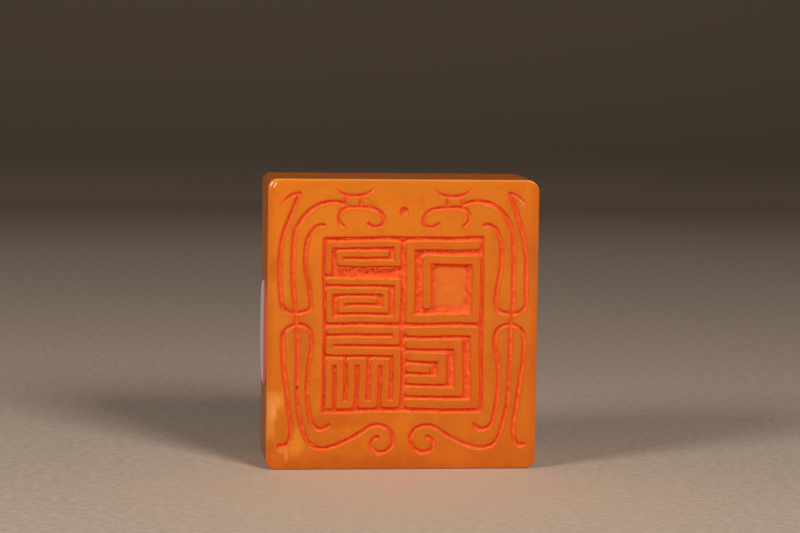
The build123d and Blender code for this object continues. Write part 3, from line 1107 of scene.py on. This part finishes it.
def strew_crumbs(films, material):
    """Crumbs of dried paste over the films, as one plain mesh."""
    points = []
    faces = []
    wanted = []
    for film in films:
        first = len(wanted)
        mesh = film.data
        count = len(mesh.vertices)
        places = np.empty(count * 3, dtype=np.float32)
        mesh.vertices.foreach_get("co", places)
        points.append(places.reshape(-1, 3) / MILLIMETRE)
        shares = np.empty(count, dtype=np.float32)
        mesh.attributes["crumbs"].data.foreach_get("value", shares)
        wanted.extend(shares.tolist())
        outer = [face.vertices for face in mesh.polygons if face.normal.y < -0.2]
        faces += [[number + first for number in numbers] for numbers in outer]
    shares = {"crumbs": wanted}
    carrier = new_piece("crumb_carrier", np.concatenate(points), faces, material, shares)
    modifier = carrier.modifiers.new("strewn", "NODES")
    modifier.node_group, identifiers = crumb_tree(material)
    for identifier, size in zip(identifiers, CRUMB_SIZES):
        modifier[identifier] = size
    seen = carrier.evaluated_get(bpy.context.evaluated_depsgraph_get())
    mesh = bpy.data.meshes.new_from_object(seen)
    bpy.data.objects.remove(carrier)
    mesh.shade_smooth()
    return new_object("paste_crumbs", mesh)


def stick_label(material):
    """The paper label on the block's left side, with soft edges and slight waves."""
    straight = np.array(LABEL_SIZE) / 2 - LABEL_ROUNDING
    turns = np.linspace(0, math.tau, 97)[:-1]
    headings = np.column_stack((np.cos(turns), np.sin(turns)))
    signs = np.sign(headings)
    signs[signs == 0] = 1
    size = len(turns)
    last = len(LABEL_RINGS) - 1
    waves = LABEL_WAVES * smooth_noise((last, size), 0.5, 4.0, 95)
    rows = [signs * straight + headings * (LABEL_ROUNDING - inset) for inset, _ in LABEL_RINGS]
    outs = [np.full(size, height) for _, height in LABEL_RINGS]
    for height, wave in zip(outs[1:], waves):
        height += wave * (height > 0.1)
    rows = np.concatenate((*rows, ((0.0, 0.0), (0.0, 0.0))))
    outs = np.minimum(np.concatenate(outs), LABEL_THICKNESS)
    outs = np.concatenate((outs, (outs[-1], outs[0])))
    faces = []
    for near in range(0, last * size, size):
        far = near + size
        for j in range(size):
            after = (j + 1) % size
            faces.append((near + j, near + after, far + after, far + j))
    for j in range(size):
        after = (j + 1) % size
        faces.append((last * size + j, last * size + after, len(rows) - 2))
        faces.append((after, j, len(rows) - 1))
    left = FACE_MIDDLE[0] - FACE_WIDTH / 2
    back = LABEL_MIDDLE[0] - rows[:, 0]
    up = LABEL_MIDDLE[1] + rows[:, 1]
    return new_piece("paper_label", np.column_stack((left - outs, back, up)), faces, material)


def set_stage(material):
    """The floor and backdrop as one sweep."""
    half_width = 1100.0
    floor_front = -900.0
    floor_back = 430.0
    sweep_radius = 130.0
    wall_top = 900.0
    profile = [(floor_front, 0.0), (-200.0, 0.0), (200.0, 0.0)]
    for turn in np.radians(np.linspace(0, 90, 13)):
        profile.append(
            (floor_back + sweep_radius * math.sin(turn), sweep_radius * (1 - math.cos(turn)))
        )
    profile.append((floor_back + sweep_radius, wall_top))
    points = [(side * half_width, y, z) for y, z in profile for side in (-1, 1)]
    faces = [(2 * k, 2 * k + 1, 2 * k + 3, 2 * k + 2) for k in range(len(profile) - 1)]
    stage = new_piece("studio_sweep", points, faces, material)


def hang_lamp(name, azimuth, power):
    """A round soft lamp that looks at the seal; its azimuth is positive to the right."""
    distance = 450.0
    diameter = 150.0
    elevation = math.radians(30.0)
    around = math.radians(azimuth)
    level = math.cos(elevation)
    target = Vector((0, 0, FACE_MIDDLE[2]))
    away = Vector((math.sin(around) * level, -math.cos(around) * level, math.sin(elevation)))
    lamp = bpy.data.lights.new(name, "AREA")
    lamp.shape = "DISK"
    lamp.size = diameter * MILLIMETRE
    lamp.energy = power
    lamp.color = (1.0, 0.975, 0.94)
    holder = new_object(name, lamp)
    holder.location = (target + away * distance) * MILLIMETRE
    holder.rotation_euler = away.to_track_quat("Z", "Y").to_euler()


def set_camera():
    """The camera where the photograph was taken from."""
    place = Vector((-37.10, -339.73, 58.19)) * MILLIMETRE
    elevation = math.radians(5.549)
    azimuth = math.radians(-6.285)
    roll = math.radians(0.762)
    ahead = (-math.sin(azimuth) * math.cos(elevation), math.cos(azimuth) * math.cos(elevation))
    forward = Vector((*ahead, -math.sin(elevation)))
    level = Vector((math.cos(azimuth), math.sin(azimuth), 0.0))
    upright = level.cross(forward)
    right = level * math.cos(roll) + upright * math.sin(roll)
    top = upright * math.cos(roll) - level * math.sin(roll)
    lens = bpy.data.cameras.new("camera")
    lens.sensor_width = 36.0
    lens.lens = 121.5
    lens.clip_start = 0.01
    lens.clip_end = 10.0
    camera = new_object("camera", lens)
    turned = Matrix((right, top, -forward)).transposed().to_4x4()
    camera.matrix_world = Matrix.Translation(place) @ turned
    bpy.context.scene.camera = camera


def set_air():
    """Dim even light from all round."""
    world = bpy.data.worlds.new("studio_air")
    world.use_nodes = True
    background = world.node_tree.nodes["Background"]
    background.inputs["Color"].default_value = (0.034, 0.0265, 0.0195, 1)
    background.inputs["Strength"].default_value = 1.0
    bpy.context.scene.world = world


set_camera()
settle(carve_stone(honey_stone()), "seal_stone", "stone_block")

paste_material = seal_paste()
films = {name: paste_shell(name, paste_material) for name in covers}
for name, film in films.items():
    settle(film, "seal_paste", f"{name}_paste")
settle(strew_crumbs(films.values(), paste_material), "seal_paste")
settle(stick_label(label_paper()), "label_paper", "side_label")

set_stage(studio_paper())
hang_lamp("right_lamp", 26.0, 1.42)
hang_lamp("left_lamp", -54.0, 1.0)
set_air()
bpy.context.scene.view_settings.view_transform = "Standard"
